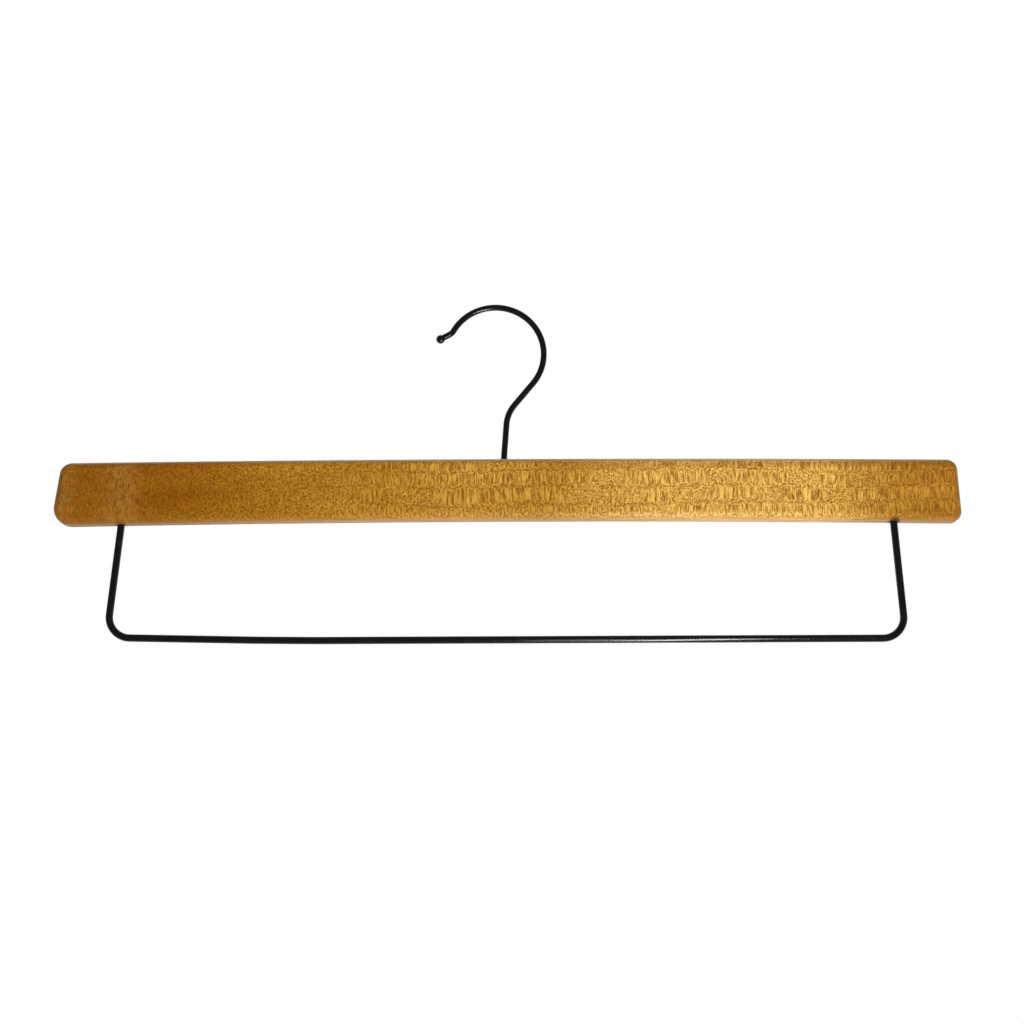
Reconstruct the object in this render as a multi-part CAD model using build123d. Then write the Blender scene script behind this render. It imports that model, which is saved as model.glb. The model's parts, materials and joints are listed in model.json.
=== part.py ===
from build123d import *
from math import cos, radians, sin, tan
import os

# Trouser hanger: a slim wooden bar that turns on a bent wire hook, with a wire
# bar below it that carries the trousers.
# Millimetres, +Z up, X along the bar, Y through its thickness.
# The origin is the seat of the hook: the point inside its crown that hangs on
# a wardrobe rail.

# Hook wire, followed from the wooden bar up to its tip
hook_wire_diameter = 2.8
neck_rise = 0.5
lean_radius = 22.0
lean_angle = 4.3
stem_length = 14.2
stem_bend_radius = 16.0
stem_bend_angle = 35.4
slant_length = 12.95
crown_radius = 21.8
crown_angle = 189.7
tip_bend_radius = 4.3
tip_bend_angle = 31.4
tip_length = 4.8
tip_ball_proud = 0.6

# Upset head at the lower end of the hook, which carries the sleeve
shank_head_height = 1.5
shank_head_edge = 0.4

# Sleeve that is pressed into the wooden bar and turns round the shank
sleeve_wall = 1.05
sleeve_depth = 15.0
flange_overhang = 0.7
flange_thickness = 0.8
flange_seat_depth = 0.7
flange_edge = 0.3
barb_count = 4
barb_depth = 0.25
barb_width = 0.9

# Clearances of the swivel
running_clearance = 0.05
head_side_clearance = 0.4
head_end_float = 0.1
head_room = 0.8

# Wooden bar
bar_length = 401.6
bar_end_height = 28.2
bar_thickness = 11.0
top_crown = 1.1
underside_hollow = 1.7
left_end_rake = 7.7
right_end_rake = 2.8
left_top_corner_radius = 5.7
left_bottom_corner_radius = 7.6
right_top_corner_radius = 4.9
right_bottom_corner_radius = 4.4
edge_roundover = 3.5
shank_offset = 1.4
drill_point_angle = 118.0

# Trouser bar: one wire, bent into a wide U, with its ends driven into the wood
trouser_wire_diameter = 3.3
trouser_bar_drop = 53.15
leg_inset = 29.7
leg_insert_depth = 14.0
leg_hole_end_gap = 0.5
left_leg_splay = 5.3
right_leg_splay = 3.5
trouser_bar_corner_radius = 9.5
run_rise = 1.7
run_rise_length = 78.0
run_bend_radius = 1200.0
wire_end_chamfer = 0.4

# One overrun for all cuts
cut_overrun = 1.0

# Round pieces are made standing on their lower end
standing = (Align.CENTER, Align.CENTER, Align.MIN)

# Radii of the pieces that turn in each other
hook_wire_radius = hook_wire_diameter / 2
tip_ball_radius = hook_wire_radius + tip_ball_proud
sleeve_bore_radius = hook_wire_radius + running_clearance
sleeve_radius = sleeve_bore_radius + sleeve_wall
flange_radius = sleeve_radius + flange_overhang
shank_head_radius = sleeve_radius - head_side_clearance

# Places along the shank, measured from the top of the wooden bar
flange_seat_height = -flange_seat_depth
flange_top_height = flange_seat_height + flange_thickness
sleeve_end_height = flange_seat_height - sleeve_depth
head_top_height = sleeve_end_height - head_end_float
shank_end_height = head_top_height - shank_head_height
bore_end_height = shank_end_height - head_room


def hook_course():
    """Give the hook's centreline above its sleeve, with the shank's axis at X = 0."""
    neck = Line((0, flange_top_height), (0, flange_top_height + neck_rise))
    lean = JernArc(neck @ 1, neck % 1, lean_radius, -lean_angle)
    stem = Line(lean @ 1, lean @ 1 + (lean % 1) * stem_length)
    stem_bend = JernArc(stem @ 1, stem % 1, stem_bend_radius, -stem_bend_angle)
    slant = Line(stem_bend @ 1, stem_bend @ 1 + (stem_bend % 1) * slant_length)
    crown = JernArc(slant @ 1, slant % 1, crown_radius, crown_angle)
    tip_bend = JernArc(crown @ 1, crown % 1, tip_bend_radius, -tip_bend_angle)
    tip = Line(tip_bend @ 1, tip_bend @ 1 + (tip_bend % 1) * tip_length)
    return {
        "neck": neck,
        "lean": lean,
        "stem": stem,
        "stem bend": stem_bend,
        "slant": slant,
        "crown": crown,
        "tip bend": tip_bend,
        "tip": tip,
    }


# The crown's inner side at its highest point is the seat, and the seat is the
# origin, which places the shank and the top of the wooden bar
course = hook_course()
crown_centre = course["crown"].arc_center
seat_height = crown_centre.Y + crown_radius - hook_wire_radius
shank_x = -crown_centre.X
bar_top_z = -seat_height

# Corners of the wooden bar's outline before they are rounded
bar_middle_x = shank_x + shank_offset
bar_left_x = bar_middle_x - bar_length / 2
bar_right_x = bar_middle_x + bar_length / 2
bar_end_top_z = bar_top_z - top_crown
bar_end_bottom_z = bar_end_top_z - bar_end_height
underside_z = bar_end_bottom_z + underside_hollow


def corner_reach(radius, rake):
    """Give how far a sharp raked corner stands out past its rounded form."""
    return radius / tan(radians(90 - rake) / 2) - radius


bottom_left_x = bar_left_x - corner_reach(left_bottom_corner_radius, left_end_rake)
bottom_right_x = bar_right_x + corner_reach(right_bottom_corner_radius, right_end_rake)
top_left_x = bottom_left_x + bar_end_height * tan(radians(left_end_rake))
top_right_x = bottom_right_x - bar_end_height * tan(radians(right_end_rake))

# Course of the trouser bar's wire, in the plane of the shank
trouser_wire_radius = trouser_wire_diameter / 2
run_z = underside_z - trouser_bar_drop
left_leg_x = bar_left_x + leg_inset
right_leg_x = bar_right_x - leg_inset
left_corner_z = run_z + run_rise
left_leg_direction = Vector(sin(radians(left_leg_splay)), 0, cos(radians(left_leg_splay)))
right_leg_direction = Vector(-sin(radians(right_leg_splay)), 0, cos(radians(right_leg_splay)))
left_leg_entry = Vector(left_leg_x, 0, bar_end_bottom_z)
right_leg_entry = Vector(right_leg_x, 0, bar_end_bottom_z)


def leg_point(entry, direction, height):
    """Give the point of a leg's axis at a height."""
    return entry + direction * ((height - entry.Z) / direction.Z)


def wooden_bar_blank():
    """Give the wooden bar with its rounded outline and edges, before drilling."""
    top = ThreePointArc(
        (top_left_x, bar_end_top_z),
        (bar_middle_x, bar_top_z),
        (top_right_x, bar_end_top_z),
    )
    underside = ThreePointArc(
        (bottom_left_x, bar_end_bottom_z),
        (bar_middle_x, underside_z),
        (bottom_right_x, bar_end_bottom_z),
    )
    left_end = Line(top @ 0, underside @ 0)
    right_end = Line(top @ 1, underside @ 1)
    outline = make_face([top, right_end, underside, left_end])
    for corner_x, corner_y, radius in (
        (top_left_x, bar_end_top_z, left_top_corner_radius),
        (bottom_left_x, bar_end_bottom_z, left_bottom_corner_radius),
        (top_right_x, bar_end_top_z, right_top_corner_radius),
        (bottom_right_x, bar_end_bottom_z, right_bottom_corner_radius),
    ):
        nearest = outline.vertices().sort_by_distance((corner_x, corner_y))[0]
        outline = fillet(nearest, radius)
    slab = extrude(Plane.XZ * outline, amount=bar_thickness / 2, both=True)
    faces = slab.faces().sort_by(Axis.Y)
    return fillet(faces[0].edges() + faces[-1].edges(), edge_roundover)


def leg_drill(entry, direction):
    """Give the drill that makes the blind hole of one leg, with its pointed end."""
    depth = leg_insert_depth + leg_hole_end_gap
    point_length = trouser_wire_radius / tan(radians(drill_point_angle) / 2)
    mouth = Plane(origin=entry - direction * cut_overrun, z_dir=direction)
    end = Plane(origin=entry + direction * depth, z_dir=direction)
    hole = mouth * Cylinder(trouser_wire_radius, depth + cut_overrun, align=standing)
    point = end * Cone(trouser_wire_radius, 0, point_length, align=standing)
    return hole + point


def shank_drill():
    """Give the stepped drill for the sleeve: flange seat, bore and pointed end."""
    point_length = sleeve_radius / tan(radians(drill_point_angle) / 2)
    profile = Polyline(
        (0, cut_overrun),
        (flange_radius, cut_overrun),
        (flange_radius, flange_seat_height),
        (sleeve_radius, flange_seat_height),
        (sleeve_radius, bore_end_height),
        (0, bore_end_height - point_length),
        close=True,
    )
    drill = revolve(Plane.XZ * make_face(profile), Axis.Z)
    return Pos(shank_x, 0, bar_top_z) * drill


def wood_bar():
    """Give the wooden bar with the bore for the sleeve and the two holes for the wire."""
    bar = wooden_bar_blank() - shank_drill()
    bar -= leg_drill(left_leg_entry, left_leg_direction)
    bar -= leg_drill(right_leg_entry, right_leg_direction)
    return bar


def hook_sleeve():
    """Give the flanged sleeve, whose barbs hold it in the wood."""
    body = Pos(0, 0, sleeve_end_height) * Cylinder(sleeve_radius, sleeve_depth, align=standing)
    flange = Pos(0, 0, flange_seat_height) * Cylinder(flange_radius, flange_thickness, align=standing)
    rim = flange.edges().filter_by(GeomType.CIRCLE).sort_by(Axis.Z)[-1]
    sleeve = body + fillet(rim, flange_edge)
    barb_pitch = sleeve_depth / (barb_count + 1)
    for index in range(barb_count):
        crest_height = sleeve_end_height + barb_pitch * (index + 1)
        groove = Polyline(
            (sleeve_radius, crest_height),
            (sleeve_radius - barb_depth, crest_height),
            (sleeve_radius, crest_height + barb_width),
            close=True,
        )
        sleeve -= revolve(Plane.XZ * make_face(groove), Axis.Z)
    bore_length = sleeve_depth + flange_thickness + 2 * cut_overrun
    bore = Pos(0, 0, sleeve_end_height - cut_overrun) * Cylinder(
        sleeve_bore_radius, bore_length, align=standing
    )
    return Pos(shank_x, 0, bar_top_z) * (sleeve - bore)


def swivel_hook():
    """Give the hook: shank with its upset head, bent wire and ball tip, as one solid."""
    path = Wire(course.values())
    section = Plane(origin=path @ 0, z_dir=path % 0) * Circle(hook_wire_radius)
    bent_wire = sweep(section, path=path)
    bent_wire += Plane(origin=path @ 1, z_dir=path % 1) * Sphere(tip_ball_radius)
    bent_wire = Plane.XZ * bent_wire
    shank_length = flange_top_height - head_top_height
    shank = Pos(0, 0, head_top_height) * Cylinder(hook_wire_radius, shank_length, align=standing)
    head = Pos(0, 0, shank_end_height) * Cylinder(
        shank_head_radius, shank_head_height, align=standing
    )
    head_rim = head.edges().filter_by(GeomType.CIRCLE).sort_by(Axis.Z)[0]
    head = fillet(head_rim, shank_head_edge)
    return Pos(shank_x, 0, bar_top_z) * (bent_wire + shank + head)


def trouser_bar():
    """Give the U of wire that the trousers fold over."""
    left_corner = leg_point(left_leg_entry, left_leg_direction, left_corner_z)
    right_corner = leg_point(right_leg_entry, right_leg_direction, run_z)
    path = FilletPolyline(
        left_leg_entry + left_leg_direction * leg_insert_depth,
        left_corner,
        Vector(left_corner.X + run_rise_length, 0, run_z),
        right_corner,
        right_leg_entry + right_leg_direction * leg_insert_depth,
        radius=[trouser_bar_corner_radius, run_bend_radius, trouser_bar_corner_radius],
    )
    section = Plane(origin=path @ 0, z_dir=path % 0) * Circle(trouser_wire_radius)
    wire = sweep(section, path=path)
    ends = wire.edges().filter_by(GeomType.CIRCLE).sort_by(Axis.Z)[-2:]
    return chamfer(ends, wire_end_chamfer)


parts = {
    "wood_bar": wood_bar(),
    "hook_sleeve": hook_sleeve(),
    "swivel_hook": swivel_hook(),
    "trouser_bar": trouser_bar(),
}

os.makedirs("parts", exist_ok=True)
for node, solid in parts.items():
    export_step(solid, f"parts/{node}.step")
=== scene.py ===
"""Looks of the trouser hanger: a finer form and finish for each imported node, in metres, in the CAD frame."""

import json
import logging
from abc import ABC, abstractmethod
from dataclasses import dataclass, field
from enum import Enum
from functools import cached_property
from math import atan2, ceil, copysign, cos, hypot, pi, radians, sin, sqrt, tan
from typing import ClassVar, NamedTuple

import bmesh
import bpy
from mathutils import Matrix, Vector


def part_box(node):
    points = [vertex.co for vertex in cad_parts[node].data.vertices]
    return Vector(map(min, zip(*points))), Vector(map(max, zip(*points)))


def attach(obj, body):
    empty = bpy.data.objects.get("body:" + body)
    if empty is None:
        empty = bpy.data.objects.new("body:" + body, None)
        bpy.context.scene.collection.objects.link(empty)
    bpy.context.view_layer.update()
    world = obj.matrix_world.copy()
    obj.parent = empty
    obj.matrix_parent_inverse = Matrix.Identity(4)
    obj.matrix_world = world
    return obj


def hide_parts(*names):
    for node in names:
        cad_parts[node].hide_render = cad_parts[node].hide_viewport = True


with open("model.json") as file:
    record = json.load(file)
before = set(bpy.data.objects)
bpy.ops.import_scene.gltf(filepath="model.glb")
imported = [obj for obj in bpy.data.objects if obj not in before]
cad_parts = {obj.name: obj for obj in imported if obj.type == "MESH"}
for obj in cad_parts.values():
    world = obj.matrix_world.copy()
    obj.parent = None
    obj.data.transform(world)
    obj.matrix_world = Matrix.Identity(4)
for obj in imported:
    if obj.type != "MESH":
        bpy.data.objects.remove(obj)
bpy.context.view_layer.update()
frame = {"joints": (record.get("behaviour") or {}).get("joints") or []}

log = logging.getLogger("hanger")

Colour = tuple[float, float, float]
Point = tuple[float, float, float]
Girth = list[tuple[float, float]]

MILLIMETRES_PER_METRE = 1000.0
RIGHT_ANGLE = pi / 2
UP = RIGHT_ANGLE
SHARP_ANGLE = radians(40)
BRIGHTEST_LEVEL = 255
SCREEN_TOE_END = 0.04045
SCREEN_TOE_SLOPE = 12.92
SCREEN_OFFSET = 0.055
SCREEN_POWER = 2.4
WHITE: Colour = (1.0, 1.0, 1.0)


class Body(Enum):
    """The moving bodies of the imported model."""

    HOOK = "hook"
    HANGER = "hanger"


class Slot(Enum):
    """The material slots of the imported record."""

    WOOD = "varnished_wood"
    HOOK_WIRE = "black_hook_wire"
    TROUSER_WIRE = "black_trouser_wire"
    SLEEVE = "sleeve_steel"


class Ramp(NamedTuple):
    """A smooth turn: where it starts and ends, and the levels before and after it."""

    start: float
    end: float
    low: float = 0.0
    high: float = 1.0


class Lumps(NamedTuple):
    """Soft noise: the size of its lumps along each axis, its finer layers, their strength, and its twist."""

    size: Point
    detail: float = 0.0
    roughness: float = 0.5
    twist: float = 0.0


def screen_colour(red: int, green: int, blue: int) -> Colour:
    """Give the linear colour that shows as these screen values.

    Args:
        red: Red as shown, 0 to 255.
        green: Green as shown, 0 to 255.
        blue: Blue as shown, 0 to 255.

    Returns:
        The three linear parts, 0 to 1.
    """
    shares = [level / BRIGHTEST_LEVEL for level in (red, green, blue)]
    return tuple(
        share / SCREEN_TOE_SLOPE
        if share <= SCREEN_TOE_END
        else ((share + SCREEN_OFFSET) / (1 + SCREEN_OFFSET)) ** SCREEN_POWER
        for share in shares
    )


class Signal:
    """An output of a shader node, with Python's arithmetic for the values that it carries."""

    def __init__(self, graph: "NodeGraph", socket: bpy.types.NodeSocket) -> None:
        """Wrap one output socket of a graph."""
        self.graph = graph
        self.socket = socket

    def __add__(self, other: "Signal | float") -> "Signal":
        """Add a value."""
        return self.graph.math("ADD", self, other)

    def __sub__(self, other: "Signal | float") -> "Signal":
        """Take a value away."""
        return self.graph.math("SUBTRACT", self, other)

    def __rsub__(self, other: float) -> "Signal":
        """Take this value away from a number."""
        return self.graph.math("SUBTRACT", other, self)

    def __mul__(self, other: "Signal | float") -> "Signal":
        """Multiply by a value."""
        return self.graph.math("MULTIPLY", self, other)

    def __truediv__(self, other: "Signal | float") -> "Signal":
        """Divide by a value."""
        return self.graph.math("DIVIDE", self, other)

    def __abs__(self) -> "Signal":
        """Drop the sign."""
        return self.graph.math("ABSOLUTE", self)

    __radd__ = __add__
    __rmul__ = __mul__


Value = Signal | float | Colour


class NodeGraph:
    """The nodes of one material or of the world, made from Python values and expressions."""

    def __init__(self, owner: bpy.types.Material | bpy.types.World) -> None:
        """Start a graph without nodes.

        Args:
            owner: The material or world that the graph belongs to.
        """
        owner.use_nodes = True
        self.tree = owner.node_tree
        self.tree.nodes.clear()

    @cached_property
    def place(self) -> Signal:
        """The place on the piece at rest, in millimetres of the frame."""
        node = self.node("ShaderNodeTexCoord")
        return self.vector("MULTIPLY", self.out(node, "Object"), (MILLIMETRES_PER_METRE,) * 3)

    @cached_property
    def axes(self) -> tuple[Signal, Signal, Signal]:
        """The same place as its three values."""
        return self.parts(self.place)

    def node(
        self,
        kind: str,
        settings: dict[str, object] | None = None,
        sockets: dict[str, Value] | None = None,
    ) -> bpy.types.Node:
        """Add one node.

        Args:
            kind: The node's type in Blender.
            settings: Properties of the node, which are set before its sockets.
            sockets: A link or a value for each named input, by its identifier.

        Returns:
            The new node.
        """
        made = self.tree.nodes.new(kind)
        for name, setting in (settings or {}).items():
            setattr(made, name, setting)
        inputs = {socket.identifier: socket for socket in made.inputs}
        for name, value in (sockets or {}).items():
            self.feed(inputs[name], value)
        return made

    def feed(self, socket: bpy.types.NodeSocket, value: Value) -> None:
        """Link a signal to an input, or set the input's own value.

        Args:
            socket: The input.
            value: A signal, a number, or a colour or vector of three numbers.
        """
        if isinstance(value, Signal):
            self.tree.links.new(value.socket, socket)
        elif isinstance(value, tuple) and socket.type == "RGBA":
            socket.default_value = (*value, 1.0)
        else:
            socket.default_value = value

    def out(self, node: bpy.types.Node, output: str) -> Signal:
        """Give the output of a node that has this identifier."""
        found = next(socket for socket in node.outputs if socket.identifier == output)
        return Signal(self, found)

    def math(self, operation: str, first: Value, second: Value = 0.0) -> Signal:
        """Work out one step of arithmetic on numbers."""
        node = self.node("ShaderNodeMath", {"operation": operation}, {"Value": first, "Value_001": second})
        return self.out(node, "Value")

    def vector(self, operation: str, first: Signal, second: Point) -> Signal:
        """Work out one step of arithmetic on vectors.

        Args:
            operation: The name of the step.
            first: The vector.
            second: What it is multiplied by or what is added to it, along each axis.

        Returns:
            The new vector.
        """
        sockets = {"Vector": first, "Vector_001": second}
        node = self.node("ShaderNodeVectorMath", {"operation": operation}, sockets)
        return self.out(node, "Vector")

    def parts(self, vector: Signal) -> tuple[Signal, Signal, Signal]:
        """Split a vector into its three values."""
        node = self.node("ShaderNodeSeparateXYZ", None, {"Vector": vector})
        return self.out(node, "X"), self.out(node, "Y"), self.out(node, "Z")

    def joined(self, x: Value, y: Value, z: Value) -> Signal:
        """Make a vector of three values."""
        node = self.node("ShaderNodeCombineXYZ", None, {"X": x, "Y": y, "Z": z})
        return self.out(node, "Vector")

    def mixed(self, share: Value, first: Value, second: Value) -> Signal:
        """Blend two colours.

        Args:
            share: The second colour's share, 0 to 1.
            first: The colour at share 0.
            second: The colour at share 1.

        Returns:
            The blended colour.
        """
        sockets = {"Factor_Float": share, "A_Color": first, "B_Color": second}
        node = self.node("ShaderNodeMix", {"data_type": "RGBA"}, sockets)
        return self.out(node, "Result_Color")

    def layered(self, base: Signal, coats: tuple[tuple[Signal, Value], ...]) -> Signal:
        """Lay colours over a base, one after another.

        Args:
            base: The colour at the bottom.
            coats: The share of each coat, 0 to 1, and its colour.

        Returns:
            The colour that shows.
        """
        for share, colour in coats:
            base = self.mixed(share, base, colour)
        return base

    def ease(self, value: Signal, ramp: Ramp) -> Signal:
        """Turn a value smoothly from one level to another, and hold it outside.

        Args:
            value: What is followed.
            ramp: Where the turn starts and ends, and the levels on its two sides.

        Returns:
            The eased value.
        """
        sockets = {
            "Value": value,
            "From Min": ramp.start,
            "From Max": ramp.end,
            "To Min": ramp.low,
            "To Max": ramp.high,
        }
        node = self.node("ShaderNodeMapRange", {"interpolation_type": "SMOOTHSTEP"}, sockets)
        return self.out(node, "Result")

    def noise(self, lumps: Lumps, place: Signal | None = None) -> Signal:
        """Give soft noise.

        Args:
            lumps: The size and kind of its lumps.
            place: Where it is read, in millimetres, if that isn't the place on the piece.

        Returns:
            The noise, about 0 to 1 with its middle at 0.5.
        """
        counted = self.vector("MULTIPLY", place or self.place, tuple(1 / length for length in lumps.size))
        sockets = {
            "Vector": counted,
            "Scale": 1.0,
            "Detail": lumps.detail,
            "Roughness": lumps.roughness,
            "Distortion": lumps.twist,
        }
        return self.out(self.node("ShaderNodeTexNoise", None, sockets), "Fac")

    def wobble(self, lumps: Lumps, place: Signal | None = None) -> Signal:
        """Give the same noise with its middle at 0."""
        return self.noise(lumps, place) - 0.5

    def chance(self, value: Signal) -> Signal:
        """Give an even random number for each whole value."""
        node = self.node("ShaderNodeTexWhiteNoise", {"noise_dimensions": "1D"}, {"W": value})
        return self.out(node, "Value")

    def facing(self) -> tuple[Signal, Signal, Signal]:
        """Give the direction that the piece's surface faces at rest."""
        return self.parts(self.out(self.node("ShaderNodeTexCoord"), "Normal"))

    def relief(self, height: Signal, depth: float, strength: float) -> Signal:
        """Give the normal of a surface with a fine relief.

        Args:
            height: The relief, 0 to 1.
            depth: What a height of 1 measures, in millimetres.
            strength: How much of it shows, 0 to 1.

        Returns:
            The bent normal.
        """
        sockets = {"Height": height, "Distance": depth / MILLIMETRES_PER_METRE, "Strength": strength}
        return self.out(self.node("ShaderNodeBump", None, sockets), "Normal")

    def surface(self, sockets: dict[str, Value]) -> None:
        """Finish the graph with one surface shader that has these inputs."""
        shader = self.node("ShaderNodeBsdfPrincipled", None, sockets)
        self.node("ShaderNodeOutputMaterial", None, {"Surface": self.out(shader, "BSDF")})


class Finish(ABC):
    """What a surface is made of and how it is finished. Lengths are in millimetres."""

    @abstractmethod
    def dress(self, graph: NodeGraph) -> None:
        """Fill a material's graph with this finish."""

    def material(self, name: str) -> bpy.types.Material:
        """Make a material with this finish.

        Args:
            name: The material's name.

        Returns:
            The material.
        """
        owner = bpy.data.materials.new(name)
        self.dress(NodeGraph(owner))
        return owner


@dataclass(frozen=True)
class VarnishedWood(Finish):
    """Pale hardwood sawn on the quarter, with ray flecks under a satin golden varnish.

    The wood is a solid pattern: growth layers lie flat across the bar, and thin rays stand
    upright in them. The left end has a bloom on its varnish, and painted shade round the legs' holes.
    """

    deep_dark: Colour = screen_colour(120, 67, 0)
    deep_light: Colour = screen_colour(163, 99, 0)
    pale_dark: Colour = screen_colour(149, 95, 0)
    golden_light: Colour = screen_colour(254, 198, 62)
    pale_light: Colour = screen_colour(253, 202, 99)
    layer_line: Colour = screen_colour(140, 88, 10)
    bloom: Colour = screen_colour(178, 129, 58)
    # Painted shade round the legs' holes, where the wire goes into the wood.
    stain: Colour = screen_colour(58, 34, 8)
    # Partly the plain grain's own colour and partly painted light: the pale tone holds a painted bounce and
    # reflection that pales the underside.
    deep_edge: Colour = screen_colour(148, 109, 55)
    pale_edge: Colour = screen_colour(237, 190, 130)
    # Painted sheen: a pale grey reflection of the bright surroundings on the top's rounded edge.
    rubbed_edge: Colour = screen_colour(207, 187, 162)
    end_grain: Colour = screen_colour(165, 128, 80)

    # Along the bar, partly the wood's own tone and partly painted light: a painted pool of light and sheen
    # right of the middle, darker towards both ends.
    paleness_along: tuple[Ramp, ...] = (
        Ramp(-170.0, -60.0, high=0.42),
        Ramp(-60.0, 0.0, high=0.13),
        Ramp(20.0, 90.0, high=0.56),
        Ramp(130.0, 188.0, high=-0.82),
    )
    pale_clouds: Lumps = Lumps((34.0, 20.0, 9.0), 1.0)
    pale_cloud_share: float = 0.35

    layer_thickness: float = 7.6
    layer_sway: Lumps = Lumps((85.0, 40.0, 22.0))
    layer_sway_reach: float = 9.0
    layer_ripple: Lumps = Lumps((4.5, 4.0, 4.0), 3.0, 0.6)
    layer_ripple_reach: float = 3.0
    line_edge: Ramp = Ramp(0.0, 0.1, 1.0, 0.0)
    line_gaps: Lumps = Lumps((13.0, 9.0, 4.0), 1.0)
    line_gap_edge: Ramp = Ramp(0.38, 0.6)
    line_share: float = 0.45

    rays: Lumps = Lumps((0.8, 0.5, 5.0), 2.0, 0.6)
    ray_shift: Point = (125.6, 30.5, 18.5)
    ray_lean: Lumps = Lumps((6.0, 5.0, 4.0))
    ray_lean_offset: Point = (0.0, 0.0, 160.0)
    ray_lean_reach: float = 0.45
    mottle: Lumps = Lumps((0.95, 0.5, 0.95), 1.5, 0.5, 0.7)
    specks: Lumps = Lumps((0.5, 0.3, 0.75))
    mottle_speck_share: float = 0.45
    ray_share: float = 1.3
    ray_speck_share: float = 0.2
    tall_patches: Lumps = Lumps((22.0, 22.0, 22.0))
    tall_patch_shift: float = 116.6
    tall_chance_share: float = 0.15
    tall_patch_edge: Ramp = Ramp(0.38, 0.54)
    tall_layer_edge: Ramp = Ramp(0.3, 0.38, 1.0, 0.0)
    tall_along: tuple[Ramp, ...] = (Ramp(-82.0, -38.0, 0.22, 1.0), Ramp(-158.0, -148.0, 0.45, 0.0))
    figure_contrast: float = 4.8
    figure_limits: Ramp = Ramp(-1.25, 1.25, -1.0, 1.0)

    pores: Lumps = Lumps((1.6, 0.16, 0.16), 1.0)
    face_pores: Ramp = Ramp(0.3, 0.42, 0.2, 0.0)
    edge_pores: Ramp = Ramp(0.34, 0.5, 0.5, 0.0)
    streaks: Lumps = Lumps((26.0, 0.9, 0.9), 2.0)
    edge_streaks: Ramp = Ramp(0.36, 0.6, 0.45, 0.0)
    # Painted shade: a dark band across the upper face, right of the middle, where the face turns away from the
    # light below.
    top_line_z: float = -73.5
    top_line_edge: Ramp = Ramp(0.5, 1.6, 0.34, 0.0)
    top_line_along: Ramp = Ramp(0.0, 40.0)
    # Where the edge colour shows, with its painted bounce light and reflection.
    upper_edge: Ramp = Ramp(0.15, 0.9, 0.0, 0.75)
    lower_edge: Ramp = Ramp(-0.55, -1.0, 0.0, 0.75)
    # Where the painted sheen shows: on the top's rounded edge, less on the flat top.
    rubbed_round: Ramp = Ramp(0.55, 0.95, 0.0, 0.6)
    rubbed_flat: Ramp = Ramp(0.96, 1.0, 1.0, 0.25)
    bar_ends: Ramp = Ramp(0.5, 0.9, 0.0, 0.75)

    bloom_bands: tuple[Ramp, ...] = (Ramp(-191.0, -183.0, 1.0, 0.0), Ramp(-176.0, -167.0))
    bloom_trace: float = 0.06
    bloom_band_share: float = 0.24
    bloom_clouds: Lumps = Lumps((2.6, 3.0, 3.6), 3.0, 0.7, 0.3)
    bloom_cloud_edge: Ramp = Ramp(0.3, 0.7, 0.2, 1.8)
    bloom_end: Ramp = Ramp(-163.0, -153.0, 1.0, 0.0)

    # Painted shade round the legs' holes on the underside: the place X of each hole, and how dark it is.
    stained_holes: tuple[tuple[float, float], ...] = ((-166.0, 0.35), (176.2, 0.9))
    stain_half_width: float = 3.1
    stain_half_depth: float = 5.3
    stain_edge: Ramp = Ramp(0.4, 1.3, 1.0, 0.0)
    stain_foot: Ramp = Ramp(-94.2, -96.6)

    fleck_height: float = 0.6
    pore_height: float = 0.4
    line_height: float = -0.3
    relief_span: Ramp = Ramp(-0.6, 1.0)
    relief_depth: float = 0.06
    relief_strength: float = 0.5
    roughness: float = 0.42
    dull_clouds: Lumps = Lumps((20.0, 5.0, 5.0), 2.0)
    cloud_roughness: float = 0.1
    fleck_roughness: float = -0.04
    specular_level: float = 0.16
    coat_weight: float = 0.1
    coat_roughness: float = 0.24

    def dress(self, graph: NodeGraph) -> None:
        """Fill the wood's graph.

        Args:
            graph: The material's graph.
        """
        depth = self.layer_depth(graph)
        within = graph.math("FRACT", depth)
        figure = self.figure(graph, graph.math("FLOOR", depth), within)
        line = self.layer_lines(graph, within)
        pores = graph.noise(self.pores)
        height = figure * self.fleck_height + pores * self.pore_height + line * self.line_height
        dullness = graph.noise(self.dull_clouds) * self.cloud_roughness + figure * self.fleck_roughness
        graph.surface({
            "Base Color": self.colour(graph, figure, line, pores),
            "Roughness": self.roughness + dullness,
            "Specular IOR Level": self.specular_level,
            "Coat Weight": self.coat_weight,
            "Coat Roughness": self.coat_roughness,
            "Normal": graph.relief(
                graph.ease(height, self.relief_span), self.relief_depth, self.relief_strength
            ),
        })

    def layer_depth(self, graph: NodeGraph) -> Signal:
        """Give the height through the growth layers, with their sway and ripple.

        Args:
            graph: The material's graph.

        Returns:
            The height, counted in layers.
        """
        sway = graph.wobble(self.layer_sway) * self.layer_sway_reach
        ripple = graph.wobble(self.layer_ripple) * self.layer_ripple_reach
        return (graph.axes[2] + sway + ripple) / self.layer_thickness

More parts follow.
